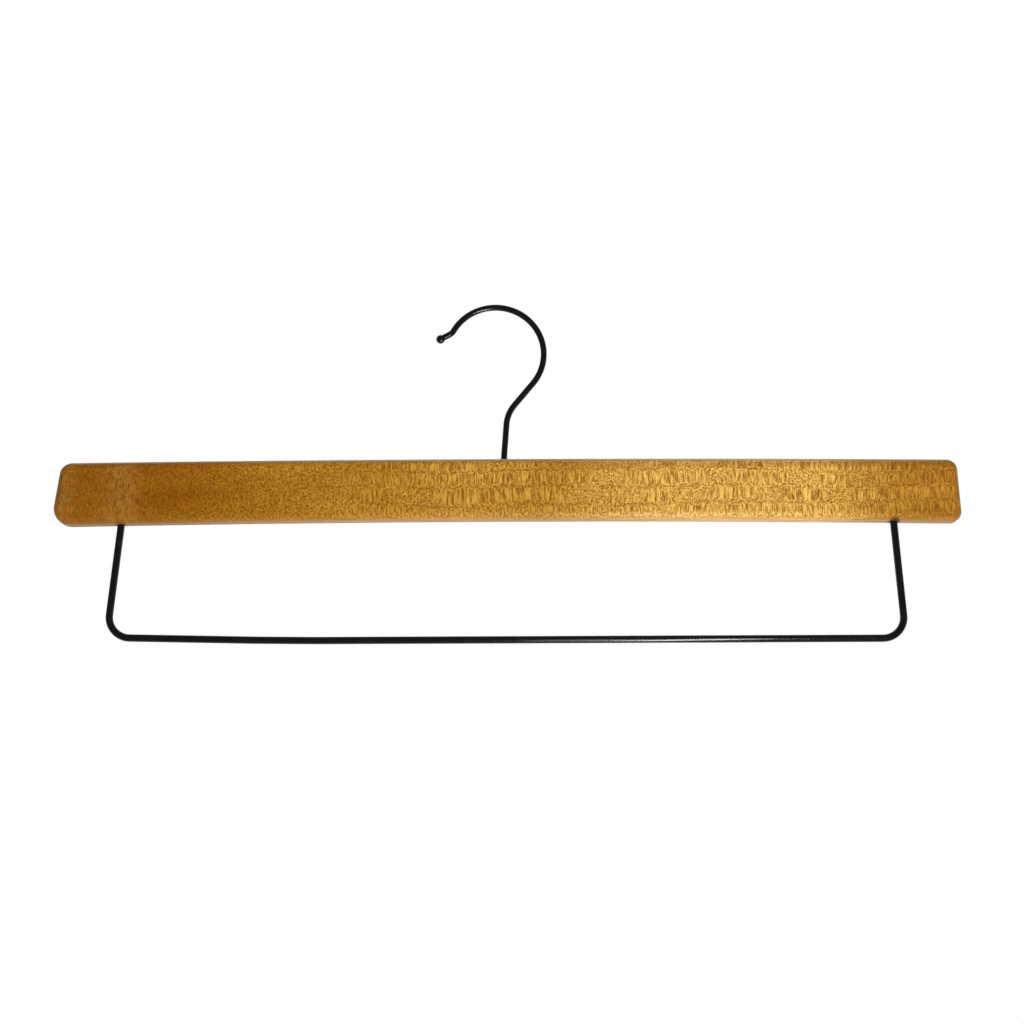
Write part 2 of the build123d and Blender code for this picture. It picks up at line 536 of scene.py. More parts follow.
    def figure(self, graph: NodeGraph, layer: Signal, within: Signal) -> Signal:
        """Give the rays' pattern.

        Args:
            graph: The material's graph.
            layer: The number of the growth layer.
            within: How far up in that layer the place is, 0 to 1.

        Returns:
            The pattern, from -1 for a dark fleck to 1 for a bright one: tall upright flecks in
            the middle of the layers, here and there, and small wavy ones elsewhere.
        """
        x, y, z = graph.axes
        chance = graph.chance(layer)
        lean = graph.wobble(self.ray_lean, graph.vector("ADD", graph.place, self.ray_lean_offset))
        ray_place = graph.joined(
            x + lean * self.ray_lean_reach + chance * self.ray_shift[0],
            y + chance * self.ray_shift[1],
            z + layer * self.ray_shift[2],
        )
        specks = graph.wobble(self.specks)
        tall = graph.wobble(self.rays, ray_place) * self.ray_share + specks * self.ray_speck_share
        short = graph.wobble(self.mottle) + specks * self.mottle_speck_share
        patches = graph.noise(self.tall_patches, graph.joined(x, y, layer * self.tall_patch_shift))
        tall_share = graph.ease(patches + chance * self.tall_chance_share, self.tall_patch_edge)
        tall_share = tall_share * graph.ease(abs(within - 0.5), self.tall_layer_edge)
        tall_share = tall_share * sum(graph.ease(x, ramp) for ramp in self.tall_along)
        blend = short + (tall - short) * tall_share
        return graph.ease(blend * self.figure_contrast, self.figure_limits)

    def layer_lines(self, graph: NodeGraph, within: Signal) -> Signal:
        """Give the thin dark lines between growth layers, broken here and there.

        Args:
            graph: The material's graph.
            within: How far up in its layer the place is, 0 to 1.

        Returns:
            The lines' strength, 0 to 1.
        """
        line = graph.ease(graph.math("MINIMUM", within, 1 - within), self.line_edge)
        return line * graph.ease(graph.noise(self.line_gaps), self.line_gap_edge)

    def paleness(self, graph: NodeGraph) -> Signal:
        """Give how pale the wood is: its own tone in soft clouds, and along the bar its tone with painted
        light.

        Args:
            graph: The material's graph.

        Returns:
            The paleness, painted light included, 0 to 1.
        """
        along = sum(graph.ease(graph.axes[0], ramp) for ramp in self.paleness_along)
        pale = along + graph.wobble(self.pale_clouds) * self.pale_cloud_share
        return graph.math("MINIMUM", graph.math("MAXIMUM", pale, 0.0), 1.0)

    def bloom_share(self, graph: NodeGraph) -> Signal:
        """Give the worn, greyed varnish at the left end: two cloudy bands, and a trace between.

        Args:
            graph: The material's graph.

        Returns:
            The bloom's share of the colour.
        """
        x = graph.axes[0]
        bands = sum(graph.ease(x, ramp) for ramp in self.bloom_bands)
        clouds = graph.ease(graph.noise(self.bloom_clouds), self.bloom_cloud_edge)
        return (bands * self.bloom_band_share + self.bloom_trace) * clouds * graph.ease(x, self.bloom_end)

    def stain_share(self, graph: NodeGraph, hole_x: float) -> Signal:
        """Give the painted shade round a leg's hole, where the wire goes into the wood.

        Args:
            graph: The material's graph.
            hole_x: The place X of the hole.

        Returns:
            The painted shade's share, 1 at the hole and 0 away from it.
        """
        x, y, _ = graph.axes
        across = (x - hole_x) / self.stain_half_width
        through = y / self.stain_half_depth
        return graph.ease(across * across + through * through, self.stain_edge)

    def face_colour(
        self, graph: NodeGraph, pale: Signal, figure: Signal, line: Signal, pores: Signal
    ) -> Signal:
        """Mix the colour of the flat faces, with a painted shade band near their top.

        Args:
            graph: The material's graph.
            pale: How pale the wood is, painted light along the bar included.
            figure: The rays' pattern.
            line: The lines between layers.
            pores: Fine noise along the grain.

        Returns:
            The colour.
        """
        x, _, z = graph.axes
        dark = graph.mixed(pale, self.deep_dark, self.pale_dark)
        light = graph.mixed(pale, self.golden_light, self.pale_light)
        light = graph.mixed(pale, self.deep_light, light)
        half_figure = figure * 0.5
        # Painted shade: a darker band near the top of the face, right of the middle.
        top_shade = graph.ease(abs(z - self.top_line_z), self.top_line_edge)
        return graph.layered(graph.mixed(half_figure + 0.5, dark, light), (
            (line * self.line_share, self.layer_line),
            (graph.ease(pores, self.face_pores), self.layer_line),
            (top_shade * graph.ease(x, self.top_line_along), self.layer_line),
            (self.bloom_share(graph) * (half_figure + 1.0), self.bloom),
        ))

    def edge_colour(self, graph: NodeGraph, pale: Signal, pores: Signal) -> Signal:
        """Mix the colour of the top and underside, where plain grain runs along the bar. Its pale tone is
        partly painted light, bounced up onto the underside.

        Args:
            graph: The material's graph.
            pale: How pale the wood is, painted light along the bar included.
            pores: Fine noise along the grain.

        Returns:
            The colour.
        """
        return graph.layered(graph.mixed(pale, self.deep_edge, self.pale_edge), (
            (graph.ease(graph.noise(self.streaks), self.edge_streaks), self.layer_line),
            (graph.ease(pores, self.edge_pores), self.layer_line),
        ))

    def colour(self, graph: NodeGraph, figure: Signal, line: Signal, pores: Signal) -> Signal:
        """Mix the wood's colour all round.

        Args:
            graph: The material's graph.
            figure: The rays' pattern.
            line: The lines between layers.
            pores: Fine noise along the grain.

        Returns:
            The colour.
        """
        # pale carries painted light along the bar as well as the wood's own tone.
        pale = self.paleness(graph)
        facing_x, _, facing_z = graph.facing()
        # The edges' colour is partly painted bounce light and reflection.
        edges = graph.ease(facing_z, self.upper_edge) + graph.ease(facing_z, self.lower_edge)
        # Painted sheen on the top's rounded edge.
        top_sheen = graph.ease(facing_z, self.rubbed_round) * graph.ease(facing_z, self.rubbed_flat)
        # Painted shade round the legs' holes.
        hole_shades = sum(self.stain_share(graph, hole_x) * share for hole_x, share in self.stained_holes)
        return graph.layered(self.face_colour(graph, pale, figure, line, pores), (
            (edges, self.edge_colour(graph, pale, pores)),
            (top_sheen, self.rubbed_edge),
            (graph.ease(abs(facing_x), self.bar_ends), self.end_grain),
            (hole_shades * graph.ease(graph.axes[2], self.stain_foot), self.stain),
        ))


@dataclass(frozen=True)
class BlackCoating(Finish):
    """Glossy black coating on steel wire, with a faint peel and duller patches."""

    dark: Colour = screen_colour(9, 9, 13)
    light: Colour = screen_colour(22, 22, 27)
    offset: float = 0.0
    patches: Lumps = Lumps((7.0, 7.0, 7.0), 3.0, 0.6)
    peel: Lumps = Lumps((0.7, 0.7, 0.7), 1.0)
    rubbed_patches: Ramp = Ramp(0.52, 0.7, 0.0, 0.12)
    peel_roughness: float = 0.04
    roughness: float = 0.16
    specular_level: float = 0.4
    coat_weight: float = 0.25
    coat_roughness: float = 0.06
    relief_depth: float = 0.006
    relief_strength: float = 0.6

    def dress(self, graph: NodeGraph) -> None:
        """Fill the coating's graph.

        Args:
            graph: The material's graph.
        """
        place = graph.vector("ADD", graph.place, (self.offset, 0.0, 0.0))
        patch = graph.noise(self.patches, place)
        peel = graph.noise(self.peel, place)
        dullness = graph.ease(patch, self.rubbed_patches) + peel * self.peel_roughness
        graph.surface({
            "Base Color": graph.mixed(patch, self.dark, self.light),
            "Roughness": self.roughness + dullness,
            "Coat Weight": self.coat_weight,
            "Coat Roughness": self.coat_roughness,
            "Specular IOR Level": self.specular_level,
            "Normal": graph.relief(peel, self.relief_depth, self.relief_strength),
        })


@dataclass(frozen=True)
class BlackenedSteel(Finish):
    """Turned steel, blackened, with fine turning marks."""

    dark: Colour = screen_colour(38, 38, 42)
    light: Colour = screen_colour(74, 73, 74)
    marks: Lumps = Lumps((10 / 3, 10 / 3, 0.14), 1.0)
    patches: Lumps = Lumps((5 / 3, 5 / 3, 5 / 3), 2.0)
    metallic: float = 0.8
    roughness: float = 0.34
    mark_roughness: float = 0.16
    relief_depth: float = 0.008
    relief_strength: float = 0.5

    def dress(self, graph: NodeGraph) -> None:
        """Fill the steel's graph.

        Args:
            graph: The material's graph.
        """
        marks = graph.noise(self.marks)
        graph.surface({
            "Base Color": graph.mixed(graph.noise(self.patches), self.dark, self.light),
            "Metallic": self.metallic,
            "Roughness": self.roughness + marks * self.mark_roughness,
            "Normal": graph.relief(marks, self.relief_depth, self.relief_strength),
        })


@dataclass(frozen=True)
class FloorPaint(Finish):
    """Pale matt floor paint, with a glow that keeps the floor evenly pale."""

    paint: Colour = (0.86, 0.86, 0.85)
    glow: float = 0.4
    patches: Lumps = Lumps((500.0, 500.0, 500.0), 2.0)
    roughness: float = 0.7
    patch_roughness: float = 0.1

    def dress(self, graph: NodeGraph) -> None:
        """Fill the paint's graph.

        Args:
            graph: The material's graph.
        """
        graph.surface({
            "Base Color": self.paint,
            "Roughness": self.roughness + graph.noise(self.patches) * self.patch_roughness,
            "Emission Color": WHITE,
            "Emission Strength": self.glow,
        })


@dataclass(frozen=True)
class Stretch:
    """One straight or evenly bent stretch of a centreline in the plane Y = 0."""

    x: float
    z: float
    heading: float
    length: float
    curvature: float = 0.0

    def at(self, distance: float) -> Point:
        """Give a place on the stretch, or past its end on the same line or bend.

        Args:
            distance: How far along the stretch it is.

        Returns:
            X, Z and the heading there.
        """
        heading = self.heading + self.curvature * distance
        if self.curvature:
            across = (sin(heading) - sin(self.heading)) / self.curvature
            rise = (cos(self.heading) - cos(heading)) / self.curvature
        else:
            across = distance * cos(heading)
            rise = distance * sin(heading)
        return self.x + across, self.z + rise, heading


class Course:
    """A centreline in the plane Y = 0, laid down stretch by stretch. Headings turn from +X towards +Z."""

    finest_turn: ClassVar[float] = radians(3)

    def __init__(self, x: float, z: float, heading: float) -> None:
        """Start at a place with a heading."""
        self.stretches: list[Stretch] = []
        self.pen = (x, z, heading)

    @property
    def length(self) -> float:
        """Give the whole length."""
        return sum(stretch.length for stretch in self.stretches)

    def lay(self, length: float, curvature: float = 0.0) -> "Course":
        """Lay one more stretch.

        Args:
            length: The stretch's length.
            curvature: How sharply it bends, 0 if it is straight.

        Returns:
            The course.
        """
        stretch = Stretch(*self.pen, length, curvature)
        self.stretches.append(stretch)
        self.pen = stretch.at(length)
        return self

    def bend(self, radius: float, turn: float) -> "Course":
        """Lay a bend of a radius through an angle, anticlockwise from the front, and give the course."""
        return self.lay(radius * abs(turn), copysign(1 / radius, turn))

    def at(self, distance: float) -> Point:
        """Give a place on the course, or past either end.

        Args:
            distance: How far from the start it is.

        Returns:
            X, Z and the heading there.
        """
        left = distance
        for stretch in self.stretches[:-1]:
            if left <= stretch.length:
                return stretch.at(left)
            left -= stretch.length
        return self.stretches[-1].at(left)

    def marks(self) -> list[float]:
        """Mark the course where a skin needs a ring: at the ends of stretches and in steps round bends.

        Returns:
            The distances from the start.
        """
        found = [0.0]
        for stretch in self.stretches:
            turn = abs(stretch.curvature) * stretch.length
            steps = max(1, ceil(turn / self.finest_turn))
            start = found[-1]
            found += [start + stretch.length * step / steps for step in range(1, steps + 1)]
        return found

    @classmethod
    def round_corners(cls, corners: list[tuple[float, float]], radii: list[float]) -> "Course":
        """Lay a course along corners, with a bend at each one between the ends.

        Args:
            corners: The places X and Z of both ends and of the sharp corners between them.
            radii: The radius of each corner's bend.

        Returns:
            The course.
        """
        runs = [(end[0] - start[0], end[1] - start[1]) for start, end in zip(corners, corners[1:])]
        headings = [atan2(rise, across) for across, rise in runs]
        turns = [(after - before + pi) % (2 * pi) - pi for before, after in zip(headings, headings[1:])]
        cuts = [0.0] + [radius * tan(abs(turn) / 2) for radius, turn in zip(radii, turns)] + [0.0]
        course = cls(*corners[0], headings[0])
        for index, (across, rise) in enumerate(runs):
            course.lay(hypot(across, rise) - cuts[index] - cuts[index + 1])
            if index < len(turns):
                course.bend(radii[index], turns[index])
        return course


def skin(name: str, course: Course, girth: Girth, sides: int, ring: bool = False) -> bpy.types.Mesh:
    """Wrap a round skin about a course.

    Args:
        name: The mesh's name.
        course: The centreline.
        girth: Distances along the course, each with the radius there. A radius of 0 closes the skin.
        sides: How many faces go round.
        ring: True if the last place joins the first, as in a tube with a bore.

    Returns:
        The mesh.
    """
    places = [girth[0]]
    marks = course.marks()
    for (start, first), (end, last) in zip(girth, girth[1:]):
        for mark in marks:
            if start < mark < end:
                places.append((mark, first + (last - first) * (mark - start) / (end - start)))
        places.append((end, last))
    form = bmesh.new()
    loops = []
    for distance, radius in places:
        x, z, heading = course.at(distance)
        count = sides if radius else 1
        loop = []
        for index in range(count):
            turn = 2 * pi * index / sides
            out = radius * cos(turn)
            corner = (x - out * sin(heading), radius * sin(turn), z + out * cos(heading))
            loop.append(form.verts.new(corner))
        loops.append(loop)
    if ring:
        loops.append(loops[0])
    wall(form, loops)
    bmesh.ops.recalc_face_normals(form, faces=form.faces)
    return finished_mesh(name, form)


def wall(form: bmesh.types.BMesh, loops: list[list[bmesh.types.BMVert]]) -> None:
    """Join each loop of corners to the next one with faces.

    Args:
        form: The form that the corners are in.
        loops: The loops in order, all alike, or with a single corner where the form closes.
    """
    for low, high in zip(loops, loops[1:]):
        sides = max(len(low), len(high))
        for index in range(sides):
            after = (index + 1) % sides
            corners = ((low, index), (low, after), (high, after), (high, index))
            form.faces.new(dict.fromkeys(loop[step % len(loop)] for loop, step in corners))


def finished_mesh(name: str, form: bmesh.types.BMesh) -> bpy.types.Mesh:
    """Turn a form into a smooth shaded mesh, and free the form.

    Args:
        name: The mesh's name.
        form: The form.

    Returns:
        The mesh, sharp only at its real edges.
    """
    mesh = bpy.data.meshes.new(name)
    form.to_mesh(mesh)
    form.free()
    mesh.shade_smooth()
    mesh.set_sharp_from_angle(angle=SHARP_ANGLE)
    return mesh


def quarter_round(radius: float, steps: int) -> list[tuple[float, float]]:
    """Give the steps of a quarter round, from (radius, 0) to (0, radius).

    Args:
        radius: The round's radius.
        steps: How many steps it is made of.

    Returns:
        How far each point still is from the side, and how far it has come from the face.
    """
    angles = [RIGHT_ANGLE * step / steps for step in range(steps + 1)]
    return [(radius * (1 - sin(angle)), radius * (1 - cos(angle))) for angle in angles]


def linked(name: str, mesh: bpy.types.Mesh) -> bpy.types.Object:
    """Put a mesh into the scene.

    Args:
        name: The object's name.
        mesh: The mesh.

    Returns:
        The object.
    """
    thing = bpy.data.objects.new(name, mesh)
    bpy.context.scene.collection.objects.link(thing)
    return thing


def settled(thing: bpy.types.Object) -> None:
    """Make a thing's modifiers part of its mesh, and take them off.

    Args:
        thing: The object that has the modifiers.
    """
    evaluated = thing.evaluated_get(bpy.context.evaluated_depsgraph_get())
    mesh = bpy.data.meshes.new_from_object(evaluated)
    thing.modifiers.clear()
    thing.data = mesh


@dataclass(frozen=True)
class FramePlaces:
    """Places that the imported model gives, in metres."""

    shank_x: float
    shank_end_z: float
    bar_middle_x: float
    bar_top_z: float
    sleeve_top_z: float
    run_lowest_z: float

    @classmethod
    def of_frame(cls) -> "FramePlaces":
        """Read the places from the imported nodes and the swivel's joint.

        Returns:
            The places.
        """
        swivel = next(joint for joint in frame["joints"] if joint["name"] == "hook_swivel")
        bar_lowest, bar_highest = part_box("wood_bar")
        return cls(
            shank_x=swivel["pos_m"][0],
            shank_end_z=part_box("swivel_hook")[0].z,
            bar_middle_x=(bar_lowest.x + bar_highest.x) / 2,
            bar_top_z=bar_highest.z,
            sleeve_top_z=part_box("hook_sleeve")[1].z,
            run_lowest_z=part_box("trouser_bar")[0].z,
        )


@dataclass
class HangerPiece(ABC):
    """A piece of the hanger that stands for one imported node. Lengths are in metres."""

    places: FramePlaces
    finish: Finish

    name: ClassVar[str]
    node: ClassVar[str]
    body: ClassVar[Body]
    slot: ClassVar[Slot]

    @abstractmethod
    def mesh(self) -> bpy.types.Mesh:
        """Build the piece's mesh in its place."""

    def build(self) -> bpy.types.Object:
        """Build the piece, dress it, and let it ride on its body in place of its node.

        Returns:
            The piece.
        """
        piece = linked(self.name, self.mesh())
        piece.data.materials.clear()
        piece.data.materials.append(self.finish.material(self.slot.value + "_finish"))
        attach(piece, self.body.value)
        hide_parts(self.node)
        log.info("%s rides on %s, %d faces", piece.name, self.body.value, len(piece.data.polygons))
        return piece


@dataclass
class TrouserWire(HangerPiece):
    """The wire below the bar, bent into a wide U, with its ends in the wood."""

    name: ClassVar[str] = "trouser_wire"
    node: ClassVar[str] = "trouser_bar"
    body: ClassVar[Body] = Body.HANGER
    slot: ClassVar[Slot] = Slot.TROUSER_WIRE

    radius: float = 0.00165
    span: float = 0.3422
    left_splay: float = radians(5.3)
    right_splay: float = radians(3.5)
    entry_above_run: float = 0.05145
    insert_depth: float = 0.014
    corner_radius: float = 0.0095
    run_rise: float = 0.0017
    run_rise_length: float = 0.078
    run_bend_radius: float = 1.2
    end_chamfer: float = 0.0004
    sides: int = 40

    @property
    def run_z(self) -> float:
        """Give the height of the run's centreline."""
        return self.places.run_lowest_z + self.radius

    @property
    def entry_z(self) -> float:
        """Give the height where the legs' places are measured."""
        return self.run_z + self.entry_above_run

    def leg(self, side: int) -> tuple[float, float]:
        """Give where a leg's axis crosses the entry height, and its lean to the right going up.

        Args:
            side: -1 for the left leg, 1 for the right one.

        Returns:
            The place X and the lean as an angle.
        """
        lean = self.left_splay if side < 0 else -self.right_splay
        return self.places.bar_middle_x + side * self.span / 2, lean

    def leg_place(self, side: int, z: float) -> tuple[float, float]:
        """Give the place X and Z of a leg's axis at a height."""
        x, lean = self.leg(side)
        return x + (z - self.entry_z) * tan(lean), z

    def mesh(self) -> bpy.types.Mesh:
        """Bend the wire along its course.

        Returns:
            The wire's mesh.
        """
        ends = [
            self.leg_place(side, self.entry_z + self.insert_depth * cos(self.leg(side)[1]))
            for side in (-1, 1)
        ]
        left_corner = self.leg_place(-1, self.run_z + self.run_rise)
        right_corner = self.leg_place(1, self.run_z)
        run_start = (left_corner[0] + self.run_rise_length, self.run_z)
        course = Course.round_corners(
            [ends[0], left_corner, run_start, right_corner, ends[1]],
            [self.corner_radius, self.run_bend_radius, self.corner_radius],
        )
        inner = self.radius - self.end_chamfer
        girth = [
            (0.0, 0.0),
            (0.0, inner),
            (self.end_chamfer, self.radius),
            (course.length - self.end_chamfer, self.radius),
            (course.length, inner),
            (course.length, 0.0),
        ]
        return skin(self.name, course, girth, self.sides)


@dataclass
class SwivelHook(HangerPiece):
    """The bent hook wire, with its upset head inside the bar and the ball on its tip."""

    name: ClassVar[str] = "hook_wire"
    node: ClassVar[str] = "swivel_hook"
    body: ClassVar[Body] = Body.HOOK
    slot: ClassVar[Slot] = Slot.HOOK_WIRE

    radius: float = 0.0014
    shank_length: float = 0.0179
    head_radius: float = 0.0021
    head_height: float = 0.0015
    head_edge: float = 0.0004
    head_edge_steps: int = 5
    lean_radius: float = 0.022
    lean_angle: float = radians(4.3)
    stem_length: float = 0.0142
    stem_bend_radius: float = 0.016
    stem_bend_angle: float = radians(35.4)
    slant_length: float = 0.01295
    crown_radius: float = 0.0218
    crown_angle: float = radians(189.7)
    tip_bend_radius: float = 0.0043
    tip_bend_angle: float = radians(31.4)
    tip_length: float = 0.0048
    ball_radius: float = 0.002
    ball_neck_radius: float = 0.0008
    sides: int = 48
    round_steps: int = 12

    def course(self) -> Course:
        """Lay the wire's centreline, from the lower end of the shank to the middle of the ball.

        Returns:
            The centreline.
        """
        course = Course(self.places.shank_x, self.places.shank_end_z, UP)
        course.lay(self.shank_length)
        course.bend(self.lean_radius, -self.lean_angle)
        course.lay(self.stem_length)
        course.bend(self.stem_bend_radius, -self.stem_bend_angle)
        course.lay(self.slant_length)
        course.bend(self.crown_radius, self.crown_angle)
        course.bend(self.tip_bend_radius, -self.tip_bend_angle)
        return course.lay(self.tip_length)

    def ball_girth(self, middle: float) -> Girth:
        """Give the girth from the wire's own radius through the ball's neck and round the ball.

        Args:
            middle: The distance of the ball's middle along the course.

        Returns:
            The girth, down to nothing at the ball's pole.
        """
        reach = self.ball_radius + self.ball_neck_radius
        rise = self.radius + self.ball_neck_radius
        back = sqrt(reach**2 - rise**2)
        lean = atan2(back, rise)
        girth = []
        for step in range(self.round_steps):
            turn = lean * step / self.round_steps
            out = self.ball_neck_radius * sin(turn)
            girth.append((middle - back + out, rise - self.ball_neck_radius * cos(turn)))
        steps = 2 * self.round_steps
        for step in range(steps):
            turn = lean - (lean + RIGHT_ANGLE) * step / steps
            girth.append((middle - self.ball_radius * sin(turn), self.ball_radius * cos(turn)))
        return girth + [(middle + self.ball_radius, 0.0)]

    def mesh(self) -> bpy.types.Mesh:
        """Bend the hook along its course, with its upset head and its ball.

        Returns:
            The hook's mesh.
        """
        course = self.course()
        edge = [
            (rise, self.head_radius - inset)
            for inset, rise in quarter_round(self.head_edge, self.head_edge_steps)
        ]
        girth = [(0.0, 0.0), *edge, (self.head_height, self.head_radius), (self.head_height, self.radius)]
        return skin(self.name, course, girth + self.ball_girth(course.length), self.sides)


@dataclass
class HookSleeve(HangerPiece):
    """The flanged and barbed sleeve that is pressed into the bar and turns round the shank."""

    name: ClassVar[str] = "sleeve"
    node: ClassVar[str] = "hook_sleeve"
    body: ClassVar[Body] = Body.HANGER
    slot: ClassVar[Slot] = Slot.SLEEVE

    bore_radius: float = 0.00145
    radius: float = 0.0025
    depth: float = 0.015
    flange_radius: float = 0.0032
    flange_thickness: float = 0.0008
    flange_edge: float = 0.0003
    flange_edge_steps: int = 6
    barb_count: int = 4
    barb_depth: float = 0.00025
    barb_width: float = 0.0009
    sides: int = 72

    @property
    def foot_z(self) -> float:
        """Give the height of the sleeve's lower end."""
        return self.places.sleeve_top_z - self.flange_thickness - self.depth

    def mesh(self) -> bpy.types.Mesh:
        """Turn the sleeve: up its outside with the barbs, over the flange, and down its bore.

        Returns:
            The sleeve's mesh.
        """
        top = self.depth + self.flange_thickness
        course = Course(self.places.shank_x, self.foot_z, UP).lay(top)
        girth = [(0.0, self.bore_radius), (0.0, self.radius)]
        for index in range(1, self.barb_count + 1):
            crest = self.depth * index / (self.barb_count + 1)
            girth += [
                (crest, self.radius),
                (crest, self.radius - self.barb_depth),
                (crest + self.barb_width, self.radius),
            ]
        girth += [(self.depth, self.radius), (self.depth, self.flange_radius)]
        girth += [
            (top - inset, self.flange_radius - rise)
            for inset, rise in quarter_round(self.flange_edge, self.flange_edge_steps)
        ]
        return skin(self.name, course, girth + [(top, self.bore_radius)], self.sides, ring=True)


@dataclass(frozen=True)
class ArchedEdge:
    """One long edge of the bar, which is as high at one end as at the other and arched between them."""

    left_x: float
    right_x: float
    middle_x: float
    end_z: float
    rise: float

    def at(self, x: float) -> tuple[float, float]:
        """Give a place on the edge.

        Args:
            x: The place along the bar.

        Returns:
            The height, and the heading of the edge towards +X.
        """
        half = abs((self.left_x if x < self.middle_x else self.right_x) - self.middle_x)
        share = (x - self.middle_x) / half
        return self.end_z + self.rise * (1 - share**2), atan2(-2 * self.rise * share / half, 1)

    def between(self, start: Point, end: Point, steps: int) -> list[Point]:
        """Give the points between two rounded corners.

        Args:
            start: The last point of the corner before the edge.
            end: The first point of the corner after it.
            steps: How many steps the edge is made of.

        Returns:
            X, Z and the facing of each point.
        """
        points = []
        travel = 0.0 if end[0] > start[0] else pi
        for step in range(1, steps):
            x = start[0] + (end[0] - start[0]) * step / steps
            z, heading = self.at(x)
            points.append((x, z, travel + heading - RIGHT_ANGLE))
        return points


@dataclass
class WoodenBar(HangerPiece):
    """The slim wooden bar: slightly arched, with raked ends, rounded edges and three drilled holes."""

    name: ClassVar[str] = "wooden_bar"
    node: ClassVar[str] = "wood_bar"
    body: ClassVar[Body] = Body.HANGER
    slot: ClassVar[Slot] = Slot.WOOD

    wire: TrouserWire = field(kw_only=True)
    sleeve: HookSleeve = field(kw_only=True)
    length: float = 0.4016
    end_height: float = 0.0282
    thickness: float = 0.011
    top_crown: float = 0.0011
    underside_hollow: float = 0.0017
    left_rake: float = radians(7.7)
    right_rake: float = radians(2.8)
    left_top_corner_radius: float = 0.0057
    left_bottom_corner_radius: float = 0.0076
    right_top_corner_radius: float = 0.0049
    right_bottom_corner_radius: float = 0.0044
    edge_roundover: float = 0.0035
    round_steps: int = 12
    corner_steps: int = 14
    long_steps: int = 100
    end_steps: int = 5
    side_steps: int = 4
    face_margin: float = 0.0004
    hole_play: float = 0.00006
    mouth_chamfer: float = 0.00035
    hole_end_gap: float = 0.0005
    point_slope: float = tan(radians(31))
    head_room: float = 0.0034
    overrun: float = 0.003

    @property
    def end_top_z(self) -> float:
        """Give the height of the top edge at both ends."""
        return self.places.bar_top_z - self.top_crown

    @property
    def end_bottom_z(self) -> float:
        """Give the height of the lower edge at both ends."""
        return self.end_top_z - self.end_height

    def corners(self) -> list[tuple[float, float, float]]:
        """Place the sharp corners.

        Returns:
            X, Z and the radius of each, anticlockwise from the lower left one.
        """
        left = self.places.bar_middle_x - self.length / 2
        right = self.places.bar_middle_x + self.length / 2
        left -= self.left_bottom_corner_radius * (tan((RIGHT_ANGLE + self.left_rake) / 2) - 1)
        right += self.right_bottom_corner_radius * (tan((RIGHT_ANGLE + self.right_rake) / 2) - 1)
        return [
            (left, self.end_bottom_z, self.left_bottom_corner_radius),
            (right, self.end_bottom_z, self.right_bottom_corner_radius),
            (right - self.end_height * tan(self.right_rake), self.end_top_z, self.right_top_corner_radius),
            (left + self.end_height * tan(self.left_rake), self.end_top_z, self.left_top_corner_radius),
        ]

    def underside(self) -> ArchedEdge:
        """Give the lower long edge."""
        (left, *_), (right, *_), *_ = self.corners()
        return ArchedEdge(left, right, self.places.bar_middle_x, self.end_bottom_z, self.underside_hollow)

    def top(self) -> ArchedEdge:
        """Give the upper long edge."""
        *_, (right, *_), (left, *_) = self.corners()
        return ArchedEdge(left, right, self.places.bar_middle_x, self.end_top_z, self.top_crown)

    def outline(self) -> list[Point]:
        """Draw the rounded outline.

        Returns:
            X, Z and the direction that it faces, as an angle, at each point, anticlockwise.
        """
        corners = self.corners()
        underside, top = self.underside(), self.top()
        right_heading = RIGHT_ANGLE + self.right_rake
        left_heading = -RIGHT_ANGLE - self.left_rake
        headings = [
            (left_heading, underside.at(corners[0][0])[1]),
            (underside.at(corners[1][0])[1], right_heading),
            (right_heading, pi + top.at(corners[2][0])[1]),
            (pi + top.at(corners[3][0])[1], 2 * pi + left_heading),
        ]
        rounds = [self.rounded(corner, *turn) for corner, turn in zip(corners, headings)]
        edges = [
            underside.between(rounds[0][-1], rounds[1][0], self.long_steps),
            self.straight_edge(rounds[1][-1], rounds[2][0]),
            top.between(rounds[2][-1], rounds[3][0], self.long_steps),
            self.straight_edge(rounds[3][-1], rounds[0][0]),
        ]
        return [point for corner, edge in zip(rounds, edges) for point in corner + edge]

    def rounded(self, corner: Point, arriving: float, leaving: float) -> list[Point]:
        """Give the points of one rounded corner.

        Args:
            corner: The sharp corner's X, Z and radius.
            arriving: The heading of the edge before it.
            leaving: The heading of the edge after it.

        Returns:
            X, Z and the facing of each point.
        """
        x, z, radius = corner
        turn = (leaving - arriving) % (2 * pi)
        cut = radius * tan(turn / 2)
        centre_x = x - cut * cos(arriving) - radius * sin(arriving)
        centre_z = z - cut * sin(arriving) + radius * cos(arriving)
        points = []
        for step in range(self.corner_steps + 1):
            facing = arriving - RIGHT_ANGLE + turn * step / self.corner_steps
            points.append((centre_x + radius * cos(facing), centre_z + radius * sin(facing), facing))
        return points

    def straight_edge(self, start: Point, end: Point) -> list[Point]:
        """Give the points of a straight end between two rounded corners.

        Args:
            start: The last point of the corner before it.
            end: The first point of the corner after it.

        Returns:
            X, Z and the facing of each point.
        """
        across, rise = end[0] - start[0], end[1] - start[1]
        shares = [step / self.end_steps for step in range(1, self.end_steps)]
        return [(start[0] + across * share, start[1] + rise * share, start[2]) for share in shares]

    def section(self) -> list[tuple[float, float]]:
        """Give the bar's rings, from front to back.

        Returns:
            How far each ring lies inside the outline, and its Y.
        """
        half = self.thickness / 2
        rounds = quarter_round(self.edge_roundover, self.round_steps)
        front = [(self.edge_roundover + self.face_margin, -half)]
        front += [(inset, rise - half) for inset, rise in rounds]
        flat = self.thickness - 2 * self.edge_roundover
        side = [(0.0, flat * (step / self.side_steps - 0.5)) for step in range(1, self.side_steps)]
        back = [(inset, -y) for inset, y in reversed(front)]
        return front + side + back

